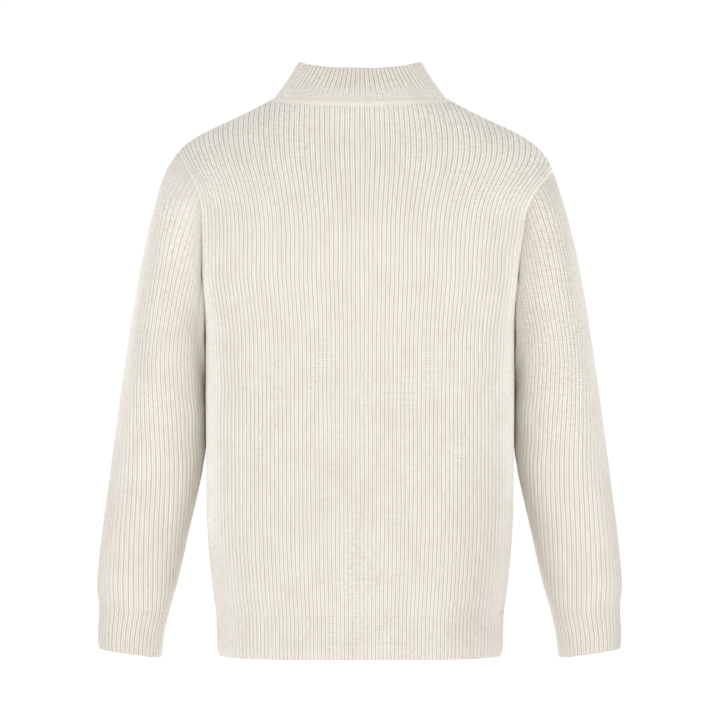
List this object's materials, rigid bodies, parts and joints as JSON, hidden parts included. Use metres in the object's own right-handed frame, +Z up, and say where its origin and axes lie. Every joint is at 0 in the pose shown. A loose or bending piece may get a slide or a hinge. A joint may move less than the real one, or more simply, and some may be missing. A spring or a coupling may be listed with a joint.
{
  "type": "zip-up cardigan",
  "caption": "Zip-up cardigan in all-over rib knit with a stand collar, set-in sleeves and ribbed hem and cuffs, filled out as when worn, with a pull tab that turns.",
  "frame": {"origin": "middle of the neck opening, level with the shoulder seams where they meet the neck", "axes": "+Z up; the zip front faces -Y and the back +Y; +X is the wearer's left"},
  "size_m": [0.6378, 0.244, 0.7265],
  "materials": {
    "knit": "heathered oatmeal rib knit in a wool blend, matt and slightly hairy",
    "linking": "smooth plain linking in the same yarn",
    "zip_tape": "woven tape, matt",
    "zip_metal": "satin nickel-plated zip metal"
  },
  "bodies": {
    "garment": {"back_panel": "knit", "front_left": "knit", "front_right": "knit", "hem_back": "knit", "hem_front_left": "knit", "hem_front_right": "knit", "sleeve_left": "knit", "sleeve_right": "knit", "cuff_left": "knit", "cuff_right": "knit", "collar": "knit", "neck_band": "linking", "zip_tape_left": "zip_tape", "zip_tape_right": "zip_tape", "zip_chain": "zip_metal", "zip_box": "zip_metal", "slider": "zip_metal"},
    "pull_tab": {"pull_tab": "zip_metal"}
  },
  "joints": [
    {"name": "pull_tab_hinge", "type": "hinge", "parent": "garment", "child": "pull_tab", "pos_m": [0, -0.07319, -0.03222], "axis": [-1, 0, 0], "range_deg": [0, 140]}
  ]
}
